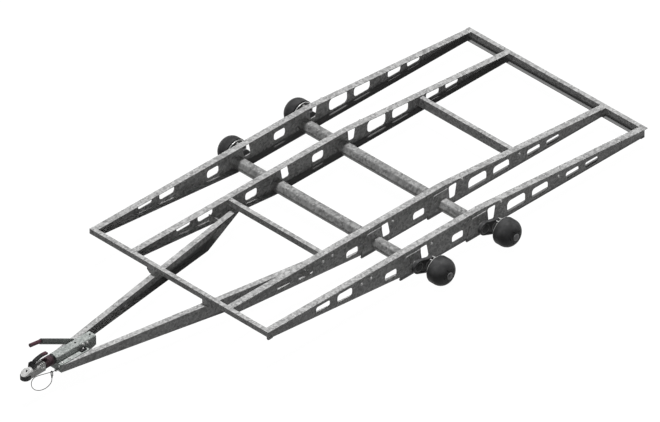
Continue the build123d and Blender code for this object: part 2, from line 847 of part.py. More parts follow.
# Snap hook at the cable's end, hung over the cable's first stretch
hook_x, hook_y, hook_foot = cable_route[-1]
hook_rest_z = drawbar_top_z - hook_drop
with BuildPart() as hook:
    with BuildSketch(Plane.XY.offset(hook_foot)):
        with Locations((hook_x, hook_y)):
            Circle(hook_ferrule_radius)
    extrude(amount=hook_ferrule_length)
    ring_height = hook_rest_z + hook_bar - hook_foot - hook_ferrule_length + hook_bar / 2
    with BuildSketch(Plane.YZ.offset(hook_x - hook_bar / 2)):
        with Locations((hook_y, hook_rest_z + hook_bar - ring_height / 2)):
            SlotOverall(ring_height, hook_inner + 2 * hook_bar, rotation=90)
            SlotOverall(ring_height - 2 * hook_bar, hook_inner, rotation=90, mode=Mode.SUBTRACT)
    extrude(amount=hook_bar)
save(hook.part, "cable_snap_hook")

# Breakaway cable: straight runs joined by tangent arcs
radii = []
for before, here, after in zip(cable_route, cable_route[1:], cable_route[2:]):
    first_run = Vector(*here) - Vector(*before)
    next_run = Vector(*after) - Vector(*here)
    turn = radians(first_run.get_angle(next_run))
    radii.append(run_share * min(first_run.length, next_run.length) / tan(turn / 2))
with BuildPart() as cable:
    with BuildLine() as path:
        FilletPolyline(*cable_route, radius=radii)
    with BuildSketch(Plane(origin=path.line @ 0, z_dir=path.line % 0)):
        Circle(cable_diameter / 2)
    sweep()
save(cable.part, "breakaway_cable")
print("cable radii", [round(r) for r in radii])
cable_length = sum(edge.length for edge in path.edges())
cable_section = pi * (cable_diameter / 2) ** 2
print("cable length", cable_length, "volume share", cable.part.volume / (cable_length * cable_section))
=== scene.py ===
# %% [markdown]
# # A bare car hauler chassis
# The CAD model already holds every beam, axle and drum of the trailer. This lesson gives it its galvanised
# look, adds the small hardware that a workshop would fit, and lights it as in the photograph.

import json
import math

import bmesh
import bpy
from mathutils import Matrix, Vector


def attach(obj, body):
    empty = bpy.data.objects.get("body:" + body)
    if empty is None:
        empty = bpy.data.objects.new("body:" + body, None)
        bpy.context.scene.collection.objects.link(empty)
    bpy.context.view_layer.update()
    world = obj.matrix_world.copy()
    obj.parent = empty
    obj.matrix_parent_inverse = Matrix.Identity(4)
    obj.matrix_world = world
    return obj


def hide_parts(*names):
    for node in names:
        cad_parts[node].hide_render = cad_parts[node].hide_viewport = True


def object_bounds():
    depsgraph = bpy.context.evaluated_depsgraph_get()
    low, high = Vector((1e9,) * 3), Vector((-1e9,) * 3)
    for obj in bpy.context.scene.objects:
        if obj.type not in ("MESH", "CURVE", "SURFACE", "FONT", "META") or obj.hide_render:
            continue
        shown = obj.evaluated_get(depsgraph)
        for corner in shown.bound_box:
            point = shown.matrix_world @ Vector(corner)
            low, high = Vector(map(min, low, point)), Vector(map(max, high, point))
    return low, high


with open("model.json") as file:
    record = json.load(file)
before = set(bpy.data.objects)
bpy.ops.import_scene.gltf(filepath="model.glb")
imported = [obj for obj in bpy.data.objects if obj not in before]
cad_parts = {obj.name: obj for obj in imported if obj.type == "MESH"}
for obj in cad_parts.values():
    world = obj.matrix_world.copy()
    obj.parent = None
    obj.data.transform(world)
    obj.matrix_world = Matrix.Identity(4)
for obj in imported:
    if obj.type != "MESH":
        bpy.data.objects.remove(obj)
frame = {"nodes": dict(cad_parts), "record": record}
CAD_BOX = [list(corner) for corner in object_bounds()]
NODES = frame["nodes"]
bpy.ops.object.select_all(action="DESELECT")
print("nodes", len(NODES), "box", CAD_BOX)

# %% [markdown]
# ## Camera
# The photograph is an isometric view with no perspective. A very long lens from far away gives the same
# picture, and unlike an orthographic camera it still frames the whole trailer when it is turned.

# %% Camera
MM = 0.001
PHOTO_WIDTH_PX = 660
METRES_PER_PX = 0.008
VIEW_POINT = Vector((-0.4004, 0.0173, 0.164))
LENS_MM = 1000
SENSOR_MM = 36
frame_width = PHOTO_WIDTH_PX * METRES_PER_PX
camera_distance = frame_width * LENS_MM / SENSOR_MM
isometric = Vector((1, 1, 1)).normalized()


def new_object(name, data):
    """A new object in the scene that holds this data."""
    thing = bpy.data.objects.new(name, data)
    bpy.context.scene.collection.objects.link(thing)
    return thing


camera_data = bpy.data.cameras.new("camera")
camera_data.lens = LENS_MM
camera_data.sensor_width = SENSOR_MM
camera_data.clip_start = 1
camera_data.clip_end = 2 * camera_distance
camera = new_object("camera", camera_data)
camera.location = VIEW_POINT + camera_distance * isometric
camera.rotation_euler = isometric.to_track_quat("Z", "Y").to_euler()
bpy.context.scene.camera = camera
bpy.context.scene.view_settings.view_transform = "Standard"
print("camera stands", round(camera_distance), "m away")

# %% [markdown]
# ## Tools for the materials
# Each material starts as a principled shader with nothing on its sockets. A small tool adds a node and sets
# its sockets by name.


# %% Tools for the materials
def new_material(name):
    """An empty node material with its output and a principled shader."""
    material = bpy.data.materials.new(name)
    material.use_nodes = True
    nodes = material.node_tree.nodes
    nodes.clear()
    output = nodes.new("ShaderNodeOutputMaterial")
    shader = nodes.new("ShaderNodeBsdfPrincipled")
    material.node_tree.links.new(shader.outputs["BSDF"], output.inputs["Surface"])
    return material, nodes, material.node_tree.links, shader, output


def add_node(nodes, kind, **values):
    """A new node whose sockets get these values, with _ for a space in a socket's name."""
    node = nodes.new("ShaderNode" + kind)
    for socket, value in values.items():
        node.inputs[socket.replace("_", " ")].default_value = value
    return node


def add_math(nodes, operation):
    """A new node that does one operation on two numbers."""
    node = nodes.new("ShaderNodeMath")
    node.operation = operation
    return node


def add_ramp(nodes, start, dark, end, light):
    """A new ramp from a dark colour at one level to a light one at another."""
    ramp = nodes.new("ShaderNodeValToRGB")
    for stop, level, colour in zip(ramp.color_ramp.elements, (start, end), (dark, light)):
        stop.position = level
        stop.color = colour
    return ramp


def tone(red, green, blue):
    """An opaque colour."""
    return (red, green, blue, 1)


def grey(value):
    """A neutral colour."""
    return tone(value, value, value)


# %% [markdown]
# ## Floor
# The picture has a white ground with no shadow on it. The floor's own grey is nearly black, and it glows
# white only to the camera and in reflections, so it throws no light up under the beams.

# %% Floor
FLOOR_HALF_M = 60
FLOOR_SHADE = 0.06
FLOOR_GLOW = 0.99
bpy.ops.mesh.primitive_plane_add(size=2 * FLOOR_HALF_M, location=(0, 0, CAD_BOX[0][2]))
floor = bpy.context.object
floor.name = "floor"
floor_paint, nodes, links, shader, output = new_material("white_ground")
shader.inputs["Base Color"].default_value = grey(FLOOR_SHADE)
shader.inputs["Roughness"].default_value = 1
shader.inputs["Specular IOR Level"].default_value = 0
glow = add_node(nodes, "Emission", Color=grey(1))
path = nodes.new("ShaderNodeLightPath")
direct_or_glossy = add_math(nodes, "MAXIMUM")
seen = add_math(nodes, "MAXIMUM")
strength = add_math(nodes, "MULTIPLY")
strength.inputs[1].default_value = FLOOR_GLOW
both = nodes.new("ShaderNodeAddShader")
links.new(path.outputs["Is Camera Ray"], direct_or_glossy.inputs[0])
links.new(path.outputs["Is Glossy Ray"], direct_or_glossy.inputs[1])
links.new(direct_or_glossy.outputs[0], seen.inputs[0])
links.new(path.outputs["Is Transmission Ray"], seen.inputs[1])
links.new(seen.outputs[0], strength.inputs[0])
links.new(strength.outputs[0], glow.inputs["Strength"])
links.new(shader.outputs["BSDF"], both.inputs[0])
links.new(glow.outputs["Emission"], both.inputs[1])
links.new(both.outputs["Shader"], output.inputs["Surface"])
floor.data.materials.append(floor_paint)
print("floor at height", CAD_BOX[0][2])

# %% [markdown]
# ## Light
# In the photograph the flanges are pale and all upright faces are dark. A broad sun nearly overhead gives
# that. A weak fill lamp from the camera's side keeps the webs from going black, and the sky is white to the
# camera but adds only a trace of light.

# %% Light
SKY_LIGHT = 0.015
LAMPS = {
    # name: strength, angle in degrees, rotation
    "sun": (3.0, 10, [math.radians(tilt) for tilt in (8, -8)] + [0]),
    "fill": (0.37, 20, camera.rotation_euler),
}
world = bpy.data.worlds.new("studio")
bpy.context.scene.world = world
world.use_nodes = True
nodes = world.node_tree.nodes
links = world.node_tree.links
background = nodes["Background"]
background.inputs["Color"].default_value = grey(1)
path = nodes.new("ShaderNodeLightPath")
level = add_node(nodes, "MapRange", To_Min=SKY_LIGHT, To_Max=1)
links.new(path.outputs["Is Camera Ray"], level.inputs["Value"])
links.new(level.outputs["Result"], background.inputs["Strength"])
for name, (energy, angle_deg, rotation) in LAMPS.items():
    lamp_data = bpy.data.lights.new(name, "SUN")
    lamp_data.energy = energy
    lamp_data.angle = math.radians(angle_deg)
    new_object(name, lamp_data).rotation_euler = rotation
bpy.data.lights["fill"].specular_factor = 0
print("lamps", list(LAMPS))

# %% [markdown]
# ## Galvanised steel
# Zinc from a hot bath sets in crystals a centimetre or two across, each a slightly different grey, with
# cloudy patches where it drained. Voronoi cells give the crystals, wide noise gives the clouds and fine noise
# the grain. Below a height the grey is darkened, a painted shade on the lowest flanges of the frame.

# %% Galvanised steel
CLOUDS_PER_CRYSTAL = 0.12
GRAINS_PER_CRYSTAL = 2.5
CLOUD_SHARE = 0.55
GRAIN_SHARE = 0.25
# Painted shade below a height: the share of the grey that is left, and the run of its edge.
PAINTED_SHADE_SHARE = 0.35
PAINTED_SHADE_EDGE_M = 0.02


def speckled_metal(name, dark, light, crystal, metallic, rough, bump, painted_shade_top=0.0):
    """Metal whose grey varies from crystal to crystal and in soft clouds, with painted shade up to a height."""
    material, nodes, links, shader, _ = new_material(name)
    place = nodes.new("ShaderNodeTexCoord")
    crystals = add_node(nodes, "TexVoronoi", Scale=1 / crystal)
    clouds = add_node(nodes, "TexNoise", Scale=CLOUDS_PER_CRYSTAL / crystal, Detail=6, Roughness=0.65)
    grain = add_node(nodes, "TexNoise", Scale=GRAINS_PER_CRYSTAL / crystal, Detail=3)
    for texture in (crystals, clouds, grain):
        links.new(place.outputs["Object"], texture.inputs["Vector"])
    cell_grey = nodes.new("ShaderNodeSeparateColor")
    links.new(crystals.outputs["Color"], cell_grey.inputs["Color"])
    mixed = add_node(nodes, "Mix", Factor=CLOUD_SHARE)
    links.new(cell_grey.outputs["Red"], mixed.inputs["A"])
    links.new(clouds.outputs["Fac"], mixed.inputs["B"])
    fine = add_node(nodes, "Mix", Factor=GRAIN_SHARE)
    links.new(mixed.outputs["Result"], fine.inputs["A"])
    links.new(grain.outputs["Fac"], fine.inputs["B"])
    # Painted shade: below its top height the grey is darkened to a share of itself.
    height = nodes.new("ShaderNodeSeparateXYZ")
    unshaded_share = add_node(nodes, "MapRange", From_Min=painted_shade_top - PAINTED_SHADE_EDGE_M, From_Max=painted_shade_top, To_Min=PAINTED_SHADE_SHARE)
    with_painted_shade = add_math(nodes, "MULTIPLY")
    links.new(place.outputs["Object"], height.inputs[0])
    links.new(height.outputs["Z"], unshaded_share.inputs["Value"])
    links.new(fine.outputs["Result"], with_painted_shade.inputs[0])
    links.new(unshaded_share.outputs["Result"], with_painted_shade.inputs[1])
    ramp = add_ramp(nodes, 0.22, dark, 0.78, light)
    links.new(with_painted_shade.outputs[0], ramp.inputs["Fac"])
    links.new(ramp.outputs["Color"], shader.inputs["Base Color"])
    shine = add_node(nodes, "MapRange", To_Min=rough - 0.1, To_Max=rough + 0.12)
    links.new(fine.outputs["Result"], shine.inputs["Value"])
    links.new(shine.outputs["Result"], shader.inputs["Roughness"])
    relief = add_node(nodes, "Bump", Strength=0.35, Distance=bump)
    links.new(fine.outputs["Result"], relief.inputs["Height"])
    links.new(relief.outputs["Normal"], shader.inputs["Normal"])
    shader.inputs["Metallic"].default_value = metallic
    shader.inputs["Specular IOR Level"].default_value = 0.25
    return material


METALS = {
    # name: dark, light, crystal in m, metallic, roughness, bump in m, top of the painted shade in m
    "galvanised": (grey(0.2), tone(0.74, 0.74, 0.735), 0.017, 0.06, 0.55, 0.0006, 0.125),
    "housing_grey": (tone(0.2, 0.225, 0.215), tone(0.66, 0.69, 0.67), 0.013, 0.06, 0.45, 0.0004),
    "lever_grey": (tone(0.16, 0.17, 0.165), tone(0.36, 0.38, 0.37), 0.01, 0.06, 0.45, 0.0003),
    "head_zinc": (tone(0.42, 0.42, 0.41), tone(0.95, 0.95, 0.94), 0.008, 0.05, 0.25, 0.0002),
    # The axle tubes take a darker copy of the galvanised metal, a painted shade for their dark sides.
    "tube_shaded_grey": (grey(0.13), tone(0.55, 0.55, 0.545), 0.017, 0.06, 0.5, 0.0006),
    "bright_zinc": (tone(0.55, 0.55, 0.54), tone(0.86, 0.86, 0.85), 0.006, 0.25, 0.3, 0.0002),
}
finishes = {name: speckled_metal(name, *values) for name, values in METALS.items()}
print("metals", len(finishes))

# %% [markdown]
# ## Castings, rubber and plastic
# The swing arms and drums are cast iron under black paint, so they keep a sandy bump and a little gloss. The
# bellows are matt rubber and the two handles are moulded plastic with a trace of dark red.


# %% Castings, rubber and plastic
def coated(name, dark, light, grain, rough, bump, gloss=0.25):
    """Paint or plastic with a fine grain in its surface and faint clouds in its colour."""
    material, nodes, links, shader, _ = new_material(name)
    place = nodes.new("ShaderNodeTexCoord")
    clouds = add_node(nodes, "TexNoise", Scale=14, Detail=5)
    sand = add_node(nodes, "TexNoise", Scale=1 / grain, Detail=4)
    for texture in (clouds, sand):
        links.new(place.outputs["Object"], texture.inputs["Vector"])
    ramp = add_ramp(nodes, 0.35, dark, 0.7, light)
    links.new(clouds.outputs["Fac"], ramp.inputs["Fac"])
    links.new(ramp.outputs["Color"], shader.inputs["Base Color"])
    shine = add_node(nodes, "MapRange", To_Min=rough - 0.08, To_Max=rough + 0.1)
    links.new(sand.outputs["Fac"], shine.inputs["Value"])
    links.new(shine.outputs["Result"], shader.inputs["Roughness"])
    relief = add_node(nodes, "Bump", Strength=0.5, Distance=bump)
    links.new(sand.outputs["Fac"], relief.inputs["Height"])
    links.new(relief.outputs["Normal"], shader.inputs["Normal"])
    shader.inputs["Specular IOR Level"].default_value = gloss
    return material


COATS = {
    # name: dark, light, grain in m, roughness, bump in m, gloss
    "black_casting": (tone(0.06, 0.06, 0.062), tone(0.15, 0.15, 0.153), 0.002, 0.4, 0.0006),
    "drum_paint": (tone(0.05, 0.05, 0.051), tone(0.105, 0.105, 0.107), 0.002, 0.48, 0.0004, 0.1),
    # The dust caps' light grey is a painted highlight on the caps.
    "cap_highlight_grey": (tone(0.2, 0.2, 0.205), tone(0.4, 0.4, 0.405), 0.002, 0.3, 0.0003),
    "eye_iron": (tone(0.25, 0.25, 0.253), tone(0.5, 0.5, 0.503), 0.002, 0.35, 0.0004),
    "bellows_rubber": (tone(0.05, 0.03, 0.036), tone(0.14, 0.09, 0.105), 0.001, 0.6, 0.0002),
    "handle_plastic": (tone(0.06, 0.028, 0.035), tone(0.16, 0.078, 0.096), 0.001, 0.4, 0.0002),
    "black_plastic": (tone(0.01, 0.01, 0.011), tone(0.028, 0.028, 0.03), 0.001, 0.4, 0.0002),
    "cable_sheath": (grey(0.2), grey(0.34), 0.001, 0.4, 0.0001),
    "handle_two_tone": (tone(0.06, 0.028, 0.035), tone(0.14, 0.07, 0.085), 0.001, 0.4, 0.0002),
}
for name, values in COATS.items():
    finishes[name] = coated(name, *values)
print("finishes", len(finishes))

# %% [markdown]
# ## Two tones on the coupling handle
# The handle's grip is dark red and its foot is black. The change is a short ramp along the part's X axis.

# %% Two tones on the coupling handle
FOOT_TONE = tone(0.025, 0.025, 0.026)
FOOT_START_M = 2.79
CHANGE_RUN_M = 0.03
nodes = finishes["handle_two_tone"].node_tree.nodes
links = finishes["handle_two_tone"].node_tree.links
of_type = {node.type: node for node in nodes}
split = nodes.new("ShaderNodeSeparateXYZ")
share = add_node(nodes, "MapRange", From_Min=FOOT_START_M, From_Max=FOOT_START_M + CHANGE_RUN_M)
blend = nodes.new("ShaderNodeMix")
blend.data_type = "RGBA"
blend.inputs["B"].default_value = FOOT_TONE
links.new(of_type["TEX_COORD"].outputs["Object"], split.inputs[0])
links.new(split.outputs["X"], share.inputs["Value"])
links.new(share.outputs["Result"], blend.inputs["Factor"])
links.new(of_type["VALTORGB"].outputs["Color"], blend.inputs["A"])
links.new(blend.outputs["Result"], of_type["BSDF_PRINCIPLED"].inputs["Base Color"])
print("the handle's foot is black from X", FOOT_START_M)

# %% [markdown]
# ## Finishes of the CAD pieces
# Most pieces take the finish of their material slot. A few differ from the rest of their slot in the
# photograph, so they are named one by one.

# %% Finishes of the CAD pieces
SLOT_FINISHES = {
    "galvanised": "galvanised",
    "housing_steel": "housing_grey",
    "zinc_plate": "bright_zinc",
    "black_casting": "black_casting",
    "drum_casting": "drum_paint",
    "bellows_rubber": "bellows_rubber",
    "dark_plastic": "handle_plastic",
    "cable_grey": "cable_sheath",
}
NODE_FINISHES = {
    "coupling_head": "head_zinc",
    "nose_bumper": "black_plastic",
    "coupling_handle": "handle_two_tone",
    "coupling_base_plate": "housing_grey",
    "handbrake_lever": "lever_grey",
    "cable_snap_hook": "black_casting",
    # The axle tubes' darker metal is painted shade.
    "axle_tube_front": "tube_shaded_grey",
    "axle_tube_rear": "tube_shaded_grey",
    "backplate_front_left": "black_casting",
    "backplate_front_right": "black_casting",
    "backplate_rear_left": "black_casting",
    "backplate_rear_right": "black_casting",
}
for part in frame["record"]["subparts"]:
    finish_name = NODE_FINISHES.get(part["node"], SLOT_FINISHES[part["material_slot"]])
    for holder in NODES[part["node"]].material_slots:
        holder.material = finishes[finish_name]

# %% [markdown]
# ## Breakaway cable
# A thin sheathed wire rope leaves its clip at the front of the coupling's base plate, swings forward beside
# the coupling head, and hangs back in a loop to its snap hook. It is a curve with the same route as the
# plain tube that it replaces.

# %% Breakaway cable
CABLE_DIAMETER = 0.006
CABLE_ROUTE_MM = [
    (2682, 30, 169),
    (2706, 30, 169),
    (2744, 29, 179),
    (2806, 27, 194),
    (2866, 26, 209),
    (2908, 26, 214),
    (2940, 27, 197),
    (2947, 28, 161),
    (2932, 29, 119),
    (2896, 29, 83),
    (2853, 30, 60),
    (2809, 30, 50),
    (2769, 30, 52),
    (2737, 30, 66),
    (2720, 30, 91),
    (2720, 30, 117),
]
cable_curve = bpy.data.curves.new("breakaway_cable_line", "CURVE")
cable_curve.dimensions = "3D"
spline = cable_curve.splines.new("NURBS")
spline.points.add(len(CABLE_ROUTE_MM) - 1)
for point, place in zip(spline.points, CABLE_ROUTE_MM):
    point.co = [MM * value for value in place] + [1]
spline.order_u = 3
spline.use_endpoint_u = True
spline.resolution_u = 10
cable_curve.bevel_depth = CABLE_DIAMETER / 2
cable_curve.bevel_resolution = 4
cable_curve.use_fill_caps = True
cable_curve.materials.append(finishes["cable_sheath"])
cable = new_object("cable_line", cable_curve)
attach(cable, "chassis")
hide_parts("breakaway_cable")
print("cable over", len(CABLE_ROUTE_MM), "points")

# %% [markdown]
# ## Tools for edit mode
# Operators act on all that is selected. So each of these makes one piece the only active one, and selects
# faces or edges in code, by their place or normal.

# %% Tools for edit mode
CLOSE = 1e-5
FLAT = 0.99


def work_on(piece):
    """Make one piece the only selected and active one."""
    bpy.ops.object.select_all(action="DESELECT")
    piece.select_set(True)
    bpy.context.view_layer.objects.active = piece


def open_all(piece):
    """Enter edit mode with everything selected."""
    work_on(piece)
    bpy.ops.object.mode_set(mode="EDIT")
    bpy.ops.mesh.select_all(action="SELECT")


def open_chosen(piece, kind, choose):
    """Enter edit mode with only the faces or edges that pass a test."""
    work_on(piece)
    bpy.ops.object.mode_set(mode="EDIT")
    bpy.ops.mesh.select_mode(type=kind)
    bpy.ops.mesh.select_all(action="DESELECT")
    shape = bmesh.from_edit_mesh(piece.data)
    for element in shape.faces if kind == "FACE" else shape.edges:
        if choose(element):
            element.select_set(True)
    bmesh.update_edit_mesh(piece.data)


def open_faces(piece, choose):
    """Enter edit mode with the faces that a test on centre and normal chooses."""
    open_chosen(piece, "FACE", lambda face: choose(face.calc_center_median(), face.normal))


def open_edges(piece, choose):
    """Enter edit mode with the edges that a test on their two ends chooses."""
    open_chosen(piece, "EDGE", lambda edge: choose(edge.verts[0].co, edge.verts[1].co))


def close_edit():
    """Leave edit mode."""
    bpy.ops.object.mode_set(mode="OBJECT")


def faces_up(centre, normal):
    """Whether a face looks straight up."""
    return normal.z > FLAT


def is_end(centre, normal):
    """Whether a face looks straight up or down."""
    return abs(normal.z) > FLAT


def is_level(a, b):
    """Whether an edge lies level."""
    return abs(a.z - b.z) < CLOSE


def at_height(height):
    """A test for level edges at a height in metres."""
    return lambda a, b: abs(a.z - height) < CLOSE and abs(b.z - height) < CLOSE


# %% [markdown]
# ## Tools for the small hardware
# Bolts, nuts and fittings repeat all over the trailer. Each is modelled once, upright at the origin, and then
# copied to its places. Every copy gets a mesh of its own, and the copies that belong together become one
# piece, which sits at the origin with its place in its mesh as the CAD pieces do.

# %% Tools for the small hardware
SMOOTH_UNDER_DEG = 35
TURNS = {
    "Z": Matrix(),
    "Y": Matrix.Rotation(-math.pi / 2, 4, "X"),
    "-Y": Matrix.Rotation(math.pi / 2, 4, "X"),
    "X": Matrix.Rotation(math.pi / 2, 4, "Y"),
}


def rod(name, radius, length, sides, foot=0.0):
    """A cylinder in mm that stands on a height above the origin."""
    bpy.ops.mesh.primitive_cylinder_add(
        vertices=sides, radius=MM * radius, depth=MM * length, location=(0, 0, MM * (foot + length / 2))
    )
    piece = bpy.context.object
    piece.name = name
    bpy.ops.object.transform_apply(location=True, rotation=False, scale=False)
    return piece


def block(name, low, high, round_mm, steps=3):
    """A block between two corners in mm with all its edges rounded."""
    size = [MM * (b - a) for a, b in zip(low, high)]
    middle = [MM * (a + b) / 2 for a, b in zip(low, high)]
    bpy.ops.mesh.primitive_cube_add(size=1, location=middle)
    piece = bpy.context.object
    piece.name = name
    piece.scale = size
    bpy.ops.object.transform_apply(location=True, rotation=False, scale=True)
    open_all(piece)
    bpy.ops.mesh.bevel(offset=MM * round_mm, segments=steps, affect="EDGES")
    close_edit()
    return piece


def round_edges(piece, choose, round_mm, steps):
    """Round the edges that a test on their two ends chooses."""
    open_edges(piece, choose)
    bpy.ops.mesh.bevel(offset=MM * round_mm, segments=steps, affect="EDGES")
    close_edit()


def step_top(piece, steps_mm):
    """Inset the top face once for each pair of inset and rise in mm."""
    open_faces(piece, faces_up)
    for inset, rise in steps_mm:
        bpy.ops.mesh.inset(thickness=MM * inset, depth=MM * rise)
    close_edit()


def open_ends(piece, wall):
    """Turn a rod into a short tube with end walls of a width in mm."""
    open_faces(piece, is_end)
    bpy.ops.mesh.inset(thickness=MM * wall)
    bpy.ops.mesh.delete(type="FACE")
    close_edit()


def join(name, pieces):
    """Join pieces into the first one."""
    bpy.ops.object.select_all(action="DESELECT")
    for piece in pieces:
        piece.select_set(True)
    bpy.context.view_layer.objects.active = pieces[0]
    if len(pieces) > 1:
        bpy.ops.object.join()
    pieces[0].name = name
    return pieces[0]


def finish_piece(piece, body, finish_name):
    """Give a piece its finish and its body."""
    piece.data.materials.clear()
    piece.data.materials.append(finishes[finish_name])
    work_on(piece)
    bpy.ops.object.shade_smooth_by_angle(angle=math.radians(SMOOTH_UNDER_DEG))
    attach(piece, body)
    print(piece.name, "has", len(piece.data.polygons), "faces and rides on", body)


def set_out(name, master, places, body, finish_name):
    """Copy a master to its places and join the copies into one piece."""
    copies = []
    for place in places:
        copy = new_object(name, master.data.copy())
        copy.data.transform(place)
        copies.append(copy)
    piece = join(name, copies)
    finish_piece(piece, body, finish_name)
    return piece


def at(x, y, z, axis="Z"):
    """The place of a master in mm, with its axis along one of the part's axes."""
    return Matrix.Translation((MM * x, MM * y, MM * z)) @ TURNS[axis]


def on_both_sides(x, y, z):
    """Two places in mm that mirror each other, each with its axis outward."""
    return [at(x, y, z, "Y"), at(x, -y, z, "-Y")]


def inward_on_both_sides(x, y, z):
    """Two places in mm that mirror each other, each with its axis inward."""
    return [at(x, y, z, "-Y"), at(x, -y, z, "Y")]


# %% [markdown]
# ## Bolts and nuts
# A bolt head is a six sided prism whose top is turned to a chamfer, on a round washer. An inset with a small
# depth makes that chamfer in one step. The nut is the same prism with the end of the thread standing out.
# All sizes are shares of the width across the flats.

# %% Bolts and nuts
WASHER_RADIUS = 0.63
WASHER_HEIGHT = 0.13
HEAD_HEIGHT = 0.42
NUT_HEIGHT = 0.5
THREAD_RADIUS = 0.31
THREAD_HEIGHT = 0.95
THREAD_FOOT = 0.1
THREAD_CHAMFER = 0.06
HEX_CHAMFER = (0.08, 0.04)


def hex_body(name, across, height, foot):
    """A six sided prism with a chamfered top."""
    piece = rod(name, across / math.sqrt(3), height, 6, foot)
    step_top(piece, [[across * share for share in HEX_CHAMFER]])
    return piece


def washer(name, radius, thickness):
    """A round washer with a bevelled upper edge."""
    piece = rod(name, radius, thickness, 24)
    round_edges(piece, at_height(MM * thickness), 0.6, 2)
    return piece


def hex_on_washer(name, across, height):
    """A hex head or nut and the washer under it."""
    return [
        washer(name, across * WASHER_RADIUS, across * WASHER_HEIGHT),
        hex_body(name, across, across * height, across * WASHER_HEIGHT),
    ]


def bolt_head(name, across):
    """Hex head on its washer."""
    return join(name, hex_on_washer(name, across, HEAD_HEIGHT))


def nut_and_thread(name, across):
    """Hex nut on its washer, with the end of the bolt's thread."""
    thread = rod(name, across * THREAD_RADIUS, across * THREAD_HEIGHT, 12, across * THREAD_FOOT)
    top = MM * across * (THREAD_FOOT + THREAD_HEIGHT)
    round_edges(thread, at_height(top), across * THREAD_CHAMFER, 1)
    return join(name, hex_on_washer(name, across, NUT_HEIGHT) + [thread])


m12_head = bolt_head("m12_head", 19)
m12_nut = nut_and_thread("m12_nut", 19)
m8_head = bolt_head("m8_head", 13)
print("m12 head faces", len(m12_head.data.polygons), "nut faces", len(m12_nut.data.polygons))

# %% [markdown]
# ## Bolts through the webs
# The pale dots on the webs in the photograph are zinc plated bolts. Their heads are outboard and their nuts
# inboard, and the right side carries the same row as the left.

# %% Bolts through the webs
WEB_BOLTS_MM = [(241, 274), (137, 278), (-547, 274), (-1335, 290), (-1991, 210)]
WEB_PLATE_MM = 5
WEB_FACES_MM = {"outer": 1010, "inner": 574}
for row, face_y in WEB_FACES_MM.items():
    heads = []
    nuts = []
    for x, z in WEB_BOLTS_MM:
        heads += on_both_sides(x, face_y, z)
        nuts += inward_on_both_sides(x, face_y - WEB_PLATE_MM, z)
    set_out(f"web_bolts_{row}", m12_head, heads, "chassis", "bright_zinc")
    set_out(f"web_nuts_{row}", m12_nut, nuts, "chassis", "bright_zinc")

# %% [markdown]
# ## Coupling hardware
# Two bolts sit low on each side of the overrun housing near its rear. Four more hold the base plate near its
# front corners, and four smaller ones hold its lip. Two dark lubricator plugs lie on the housing's top.

# %% Coupling hardware
HOUSING_HALF_MM = 42
HOUSING_TOP_MM = 296
SIDE_BOLTS_MM = ((2342, 276), (2387, 282))
BASE_TOP_MM = 239
BASE_BOLTS_X_MM = (2639, 2560)
BASE_BOLTS_Y_MM = 66
LIP_FRONT_MM = 2668
LIP_BOLTS_Y_MM = 62
LIP_BOLTS_Z_MM = (182, 218)
PLUGS_X_MM = (2271, 2432)
side_bolts = []
for x, z in SIDE_BOLTS_MM:
    side_bolts += on_both_sides(x, HOUSING_HALF_MM, z)
base_bolts = [at(x, side * BASE_BOLTS_Y_MM, BASE_TOP_MM) for x in BASE_BOLTS_X_MM for side in (1, -1)]
set_out("housing_bolts", m12_head, side_bolts + base_bolts, "chassis", "bright_zinc")
lip_bolts = [at(LIP_FRONT_MM, side * LIP_BOLTS_Y_MM, z, "X") for side in (-1, 1) for z in LIP_BOLTS_Z_MM]
set_out("lip_bolts", m8_head, lip_bolts, "chassis", "bright_zinc")

plug = rod("plug", 8, 4, 20)
step_top(plug, ((1.5, 0.8), (2.5, -2)))
plug_places = [at(x, 0, HOUSING_TOP_MM) for x in PLUGS_X_MM]
set_out("lubricator_plugs", plug, plug_places, "chassis", "black_plastic")

# %% [markdown]
# ## Bellows
# The rubber bellows fold like a concertina. A tube is cut into rings, every fourth ring is drawn in to a
# valley and its neighbours half as far, and a subdivision surface rounds the folds. The ends close onto the
# draw tube.

# %% Bellows
BELLOWS_X_MM = (2697, 2790)
TUBE_AXIS_MM = 267.5
TUBE_RADIUS_MM = 25.4
BELLOWS_FOLDS = 5
CREST_MM = 46
VALLEY_MM = 35
SLOPE_MM = (CREST_MM + VALLEY_MM) / 2
PHASE_MATCH = 0.05
bellows_length = MM * (BELLOWS_X_MM[1] - BELLOWS_X_MM[0])
fold = bellows_length / BELLOWS_FOLDS
bpy.ops.mesh.primitive_cylinder_add(
    vertices=40, radius=MM * CREST_MM, depth=bellows_length, end_fill_type="NOTHING"
)
bellows = bpy.context.object
bellows.name = "bellows_folds"
open_edges(bellows, lambda a, b: not is_level(a, b))
bpy.ops.mesh.subdivide(number_cuts=4 * BELLOWS_FOLDS - 1)
close_edit()


def draw_in(choose, share):
    """Scale the chosen edges of the bellows towards their axis."""
    open_edges(bellows, choose)
    bpy.ops.transform.resize(value=(share, share, 1), center_override=(0, 0, 0))
    close_edit()


def at_phase(phase):
    """A test for the rings that lie at a phase of their fold, from 0 to 1."""

    def choose(a, b):
        off = abs((a.z + bellows_length / 2) / fold % 1 - phase)
        return is_level(a, b) and min(off, 1 - off) < PHASE_MATCH

    return choose


